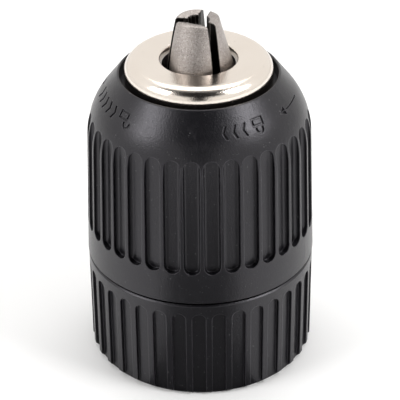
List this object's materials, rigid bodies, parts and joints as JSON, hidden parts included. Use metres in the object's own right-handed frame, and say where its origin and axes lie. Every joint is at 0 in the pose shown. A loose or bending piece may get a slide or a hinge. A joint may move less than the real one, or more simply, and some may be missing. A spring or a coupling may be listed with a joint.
{
  "type": "drill chuck",
  "caption": "Keyless drill chuck: a fluted front sleeve turns to slide three inclined steel jaws in and out of the nose; the fluted rear sleeve stays fixed to the body.",
  "frame": {"origin": "centre of the rear face", "axes": "+Z along the spindle axis towards the jaws, -Y through the first jaw"},
  "size_m": [0.0432, 0.0432, 0.0684],
  "materials": {
    "steel_body": "machined",
    "black_nylon": "satin, fine grain",
    "plated_cap": "satin nickel plate",
    "jaw_steel": "blasted and hardened",
    "nut_steel": "machined",
    "bearing_steel": "ground",
    "cage_brass": "pressed sheet"
  },
  "bodies": {
    "body": {"chuck_body": "steel_body", "rear_sleeve": "black_nylon", "nose_cap": "plated_cap", "rear_race": "bearing_steel"},
    "hand_sleeve": {"front_sleeve": "black_nylon", "nut_half_a": "nut_steel", "nut_half_b": "nut_steel", "nut_band": "nut_steel", "front_race": "bearing_steel"},
    "jaw_a": {"jaw_1": "jaw_steel"},
    "jaw_b": {"jaw_2": "jaw_steel"},
    "jaw_c": {"jaw_3": "jaw_steel"},
    "bearing": {"ball_cage": "cage_brass", "ball_01": "bearing_steel", "ball_02": "bearing_steel", "ball_03": "bearing_steel", "ball_04": "bearing_steel", "ball_05": "bearing_steel", "ball_06": "bearing_steel", "ball_07": "bearing_steel", "ball_08": "bearing_steel", "ball_09": "bearing_steel", "ball_10": "bearing_steel", "ball_11": "bearing_steel", "ball_12": "bearing_steel", "ball_13": "bearing_steel", "ball_14": "bearing_steel", "ball_15": "bearing_steel", "ball_16": "bearing_steel", "ball_17": "bearing_steel", "ball_18": "bearing_steel", "ball_19": "bearing_steel", "ball_20": "bearing_steel", "ball_21": "bearing_steel", "ball_22": "bearing_steel", "ball_23": "bearing_steel", "ball_24": "bearing_steel"}
  },
  "joints": [
    {"name": "sleeve_turn", "type": "hinge", "parent": "body", "child": "hand_sleeve", "pos_m": [0, 0, 0.035], "axis": [0, 0, 1], "range_deg": [-685, 4160]},
    {"name": "jaw_1_slide", "type": "slide", "parent": "body", "child": "jaw_a", "axis": [0, -0.2698, -0.9629], "range_m": [-0.003, 0.0181]},
    {"name": "jaw_2_slide", "type": "slide", "parent": "body", "child": "jaw_b", "axis": [0.2336, 0.1349, -0.9629], "range_m": [-0.003, 0.0181]},
    {"name": "jaw_3_slide", "type": "slide", "parent": "body", "child": "jaw_c", "axis": [-0.2336, 0.1349, -0.9629], "range_m": [-0.003, 0.0181]},
    {"name": "bearing_roll", "type": "hinge", "parent": "body", "child": "bearing", "pos_m": [0, 0, 0.03], "axis": [0, 0, 1], "range_deg": [-343.5, 2081]}
  ],
  "couplings": [
    {"joint": "jaw_1_slide", "follows": "sleeve_turn", "m_per_rad": 0.00024792},
    {"joint": "jaw_2_slide", "follows": "sleeve_turn", "m_per_rad": 0.00024792},
    {"joint": "jaw_3_slide", "follows": "sleeve_turn", "m_per_rad": 0.00024792},
    {"joint": "bearing_roll", "follows": "sleeve_turn", "ratio": 0.5}
  ]
}
